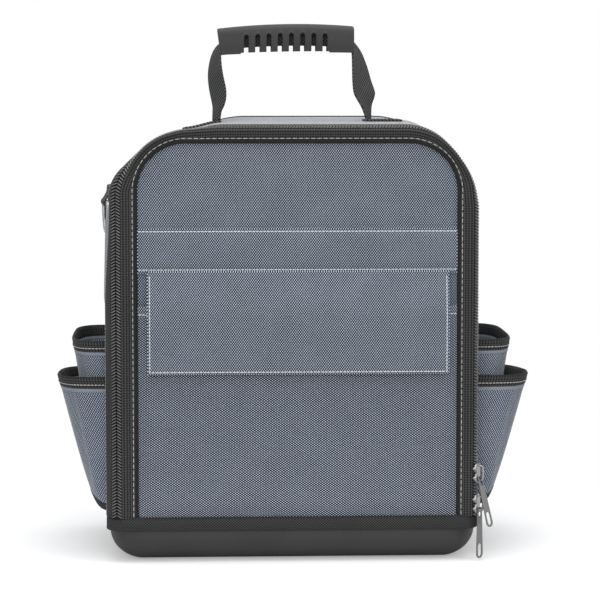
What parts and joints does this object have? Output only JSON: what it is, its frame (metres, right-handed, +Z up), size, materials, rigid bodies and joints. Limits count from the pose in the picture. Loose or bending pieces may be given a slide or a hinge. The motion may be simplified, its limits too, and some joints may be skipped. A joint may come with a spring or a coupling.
{
  "type": "zip-around tool bag",
  "caption": "Upright soft tool bag on a moulded base: zip-down front flap with covered pocket, nested side pockets, strap rings and a slotted carrying grip.",
  "frame": {"origin": "middle of the base's flat underside", "axes": "+Z up, the zipped front faces -Y, +X towards the side where the zip sliders are parked"},
  "size_m": [0.4074, 0.1977, 0.4569],
  "materials": {
    "cloth": "blue-grey ballistic weave",
    "webbing": "black ribbed tape and webbing",
    "lining": "black coated lining",
    "touch_fastener": "black hook and loop",
    "moulded_base": "satin charcoal moulding",
    "grip_rubber": "satin charcoal rubber",
    "board": "plain stiffener sheet",
    "zip_coil": "black nylon coil",
    "nickel": "nickel-plated"
  },
  "bodies": {
    "bag": {"base_tray": "moulded_base", "base_board": "board", "rim_tape": "webbing", "left_gusset": "cloth", "top_gusset": "cloth", "right_gusset": "cloth", "rear_panel": "cloth", "rear_board": "board", "rear_lining": "lining", "rear_binding": "webbing", "inner_pocket_row": "lining", "body_zip_tape": "webbing", "body_zip_teeth": "zip_coil", "left_outer_pocket": "cloth", "left_outer_binding": "webbing", "left_inner_pocket": "cloth", "left_inner_binding": "webbing", "right_outer_pocket": "cloth", "right_outer_binding": "webbing", "right_inner_pocket": "cloth", "right_inner_binding": "webbing", "left_ring_tab": "webbing", "right_ring_tab": "webbing", "left_handle_foot": "webbing", "right_handle_foot": "webbing"},
    "flap": {"flap_panel": "cloth", "flap_board": "board", "flap_lining": "lining", "flap_zip_tape": "webbing", "flap_zip_teeth": "zip_coil", "pocket_band": "cloth", "front_pocket": "cloth", "loop_strip": "touch_fastener"},
    "pocket_cover": {"pocket_cover": "cloth", "hook_strip": "touch_fastener"},
    "handle": {"handle_webbing": "webbing", "handle_grip": "grip_rubber"},
    "lower_slider": {"lower_slider": "nickel"},
    "lower_pull": {"lower_pull": "nickel"},
    "upper_slider": {"upper_slider": "nickel"},
    "upper_pull": {"upper_pull": "nickel"},
    "left_ring": {"left_d_ring": "nickel"},
    "right_ring": {"right_d_ring": "nickel"}
  },
  "joints": [
    {"name": "flap_fold", "type": "hinge", "parent": "bag", "child": "flap", "pos_m": [0, -0.0974, 0.03875], "axis": [1, 0, 0], "range_deg": [0, 95]},
    {"name": "pocket_cover_lift", "type": "hinge", "parent": "flap", "child": "pocket_cover", "pos_m": [0, -0.0944, 0.2454], "axis": [-1, 0, 0], "range_deg": [0, 150]},
    {"name": "handle_swing", "type": "hinge", "parent": "bag", "child": "handle", "pos_m": [0, 0, 0.38044], "axis": [1, 0, 0], "range_deg": [-70, 70]},
    {"name": "lower_slider_slide", "type": "slide", "parent": "bag", "child": "lower_slider", "axis": [0, 0, 1], "range_m": [0, 0.1]},
    {"name": "lower_pull_swing", "type": "hinge", "parent": "lower_slider", "child": "lower_pull", "pos_m": [0.15768, -0.09293, 0.0451], "axis": [-0.4226, -0.9063, 0], "range_deg": [0, 20]},
    {"name": "upper_slider_slide", "type": "slide", "parent": "lower_slider", "child": "upper_slider", "axis": [0, 0, 1], "range_m": [0, 0.115]},
    {"name": "upper_pull_swing", "type": "hinge", "parent": "upper_slider", "child": "upper_pull", "pos_m": [0.15768, -0.09293, 0.0716], "axis": [-0.4226, -0.9063, 0], "range_deg": [0, 125]},
    {"name": "left_ring_swing", "type": "hinge", "parent": "bag", "child": "left_ring", "pos_m": [-0.16182, 0.035, 0.3005], "axis": [-0.1392, 0.9903, 0], "range_deg": [0, 160]},
    {"name": "right_ring_swing", "type": "hinge", "parent": "bag", "child": "right_ring", "pos_m": [0.16182, 0.035, 0.3005], "axis": [-0.1392, -0.9903, 0], "range_deg": [0, 160]}
  ]
}
